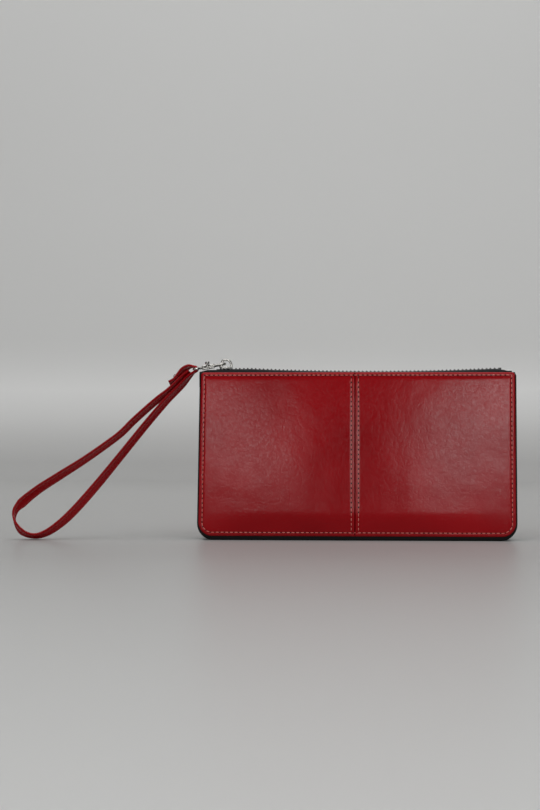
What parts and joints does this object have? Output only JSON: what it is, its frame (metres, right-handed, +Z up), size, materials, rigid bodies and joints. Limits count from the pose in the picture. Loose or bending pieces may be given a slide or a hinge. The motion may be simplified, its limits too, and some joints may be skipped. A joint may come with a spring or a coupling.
{
  "type": "wristlet wallet",
  "caption": "Flat zip-top clutch wallet in stitched glossy leather, with a snap clasp and a looped wrist strap on its zip slider, card slots and a zipped coin pocket inside.",
  "frame": {"origin": "centre of the wallet's base, on the surface it stands on", "axes": "+X along the width, away from the strap; +Y towards the rear face; +Z up towards the zip"},
  "size_m": [0.315, 0.0286, 0.1137],
  "materials": {
    "oil_wax_leather": "glossy oil-wax leather, dark red, fine creases",
    "strap_leather": "glossy dark red strap leather, folded edges",
    "black_edge": "black bonded leather with a painted edge",
    "lining": "dark brown woven lining",
    "zip_tape": "black woven zip tape",
    "zip_teeth": "black moulded teeth",
    "plated_metal": "polished nickel plate"
  },
  "bodies": {
    "shell": {"front_leather_left": "oil_wax_leather", "front_leather_right": "oil_wax_leather", "rear_leather_left": "oil_wax_leather", "rear_leather_right": "oil_wax_leather", "front_board": "black_edge", "rear_board": "black_edge", "gusset_left": "black_edge", "gusset_right": "black_edge", "gusset_bottom": "black_edge", "front_lining": "lining", "rear_lining": "lining", "card_leaf_1": "lining", "card_leaf_2": "lining", "card_leaf_3": "lining", "coin_wall_front": "lining", "coin_wall_rear": "lining", "coin_binding_left": "lining", "coin_binding_right": "lining", "coin_binding_bottom": "lining", "front_zip_tape": "zip_tape", "rear_zip_tape": "zip_tape", "zip_tab_left": "zip_tape", "zip_tab_right": "zip_tape", "coin_tape_front": "zip_tape", "coin_tape_rear": "zip_tape", "coin_teeth_front": "zip_teeth", "coin_teeth_rear": "zip_teeth", "zip_end_stop": "plated_metal", "coin_end_stop": "plated_metal"},
    "front_row": {"front_teeth": "zip_teeth"},
    "rear_row": {"rear_teeth": "zip_teeth"},
    "slider": {"slider_body": "plated_metal"},
    "clasp": {"clasp_body": "plated_metal", "gate_spring": "plated_metal"},
    "gate": {"clasp_gate": "plated_metal"},
    "swivel": {"swivel_ring": "plated_metal"},
    "strap": {"wrist_strap": "strap_leather"},
    "coin_slider": {"coin_slider": "plated_metal"},
    "coin_pull": {"coin_pull": "plated_metal"}
  },
  "joints": [
    {"name": "zip_slide", "type": "slide", "parent": "shell", "child": "slider", "axis": [1, 0, 0], "range_m": [0, 0.1665], "deforming": ["wrist_strap", "front_zip_tape", "rear_zip_tape", "front_teeth", "rear_teeth"]},
    {"name": "front_row_part", "type": "hinge", "parent": "shell", "child": "front_row", "pos_m": [0.088, 0, 0.1068], "axis": [0, 0, 1], "range_deg": [0, 1.8]},
    {"name": "rear_row_part", "type": "hinge", "parent": "shell", "child": "rear_row", "pos_m": [0.088, 0, 0.1068], "axis": [0, 0, 1], "range_deg": [-1.8, 0]},
    {"name": "clasp_tilt", "type": "hinge", "parent": "slider", "child": "clasp", "pos_m": [-0.0829, 0, 0.1106], "axis": [0, 1, 0], "range_deg": [0, 180]},
    {"name": "gate_press", "type": "slide", "parent": "clasp", "child": "gate", "axis": [-0.9848, 0, -0.1736], "range_m": [0, 0.0022], "stiffness_N_per_m": 150, "springref_m": -0.002, "deforming": ["gate_spring"]},
    {"name": "ring_swivel", "type": "hinge", "parent": "clasp", "child": "swivel", "pos_m": [-0.0829, 0, 0.1106], "axis": [-0.9848, 0, -0.1736], "continuous": true},
    {"name": "strap_swing", "type": "hinge", "parent": "swivel", "child": "strap", "pos_m": [-0.10225, 0, 0.10719], "axis": [0, 1, 0], "range_deg": [-35, 110]},
    {"name": "coin_zip_slide", "type": "slide", "parent": "shell", "child": "coin_slider", "axis": [1, 0, 0], "range_m": [0, 0.1509], "deforming": ["coin_teeth_front", "coin_teeth_rear", "coin_tape_front", "coin_tape_rear"]},
    {"name": "coin_pull_tilt", "type": "hinge", "parent": "coin_slider", "child": "coin_pull", "pos_m": [-0.07545, 0, 0.094], "axis": [0, 1, 0], "range_deg": [0, 180]}
  ],
  "couplings": [
    {"joint": "front_row_part", "follows": "zip_slide", "rad_per_m": 0.1886},
    {"joint": "rear_row_part", "follows": "zip_slide", "rad_per_m": -0.1886}
  ]
}
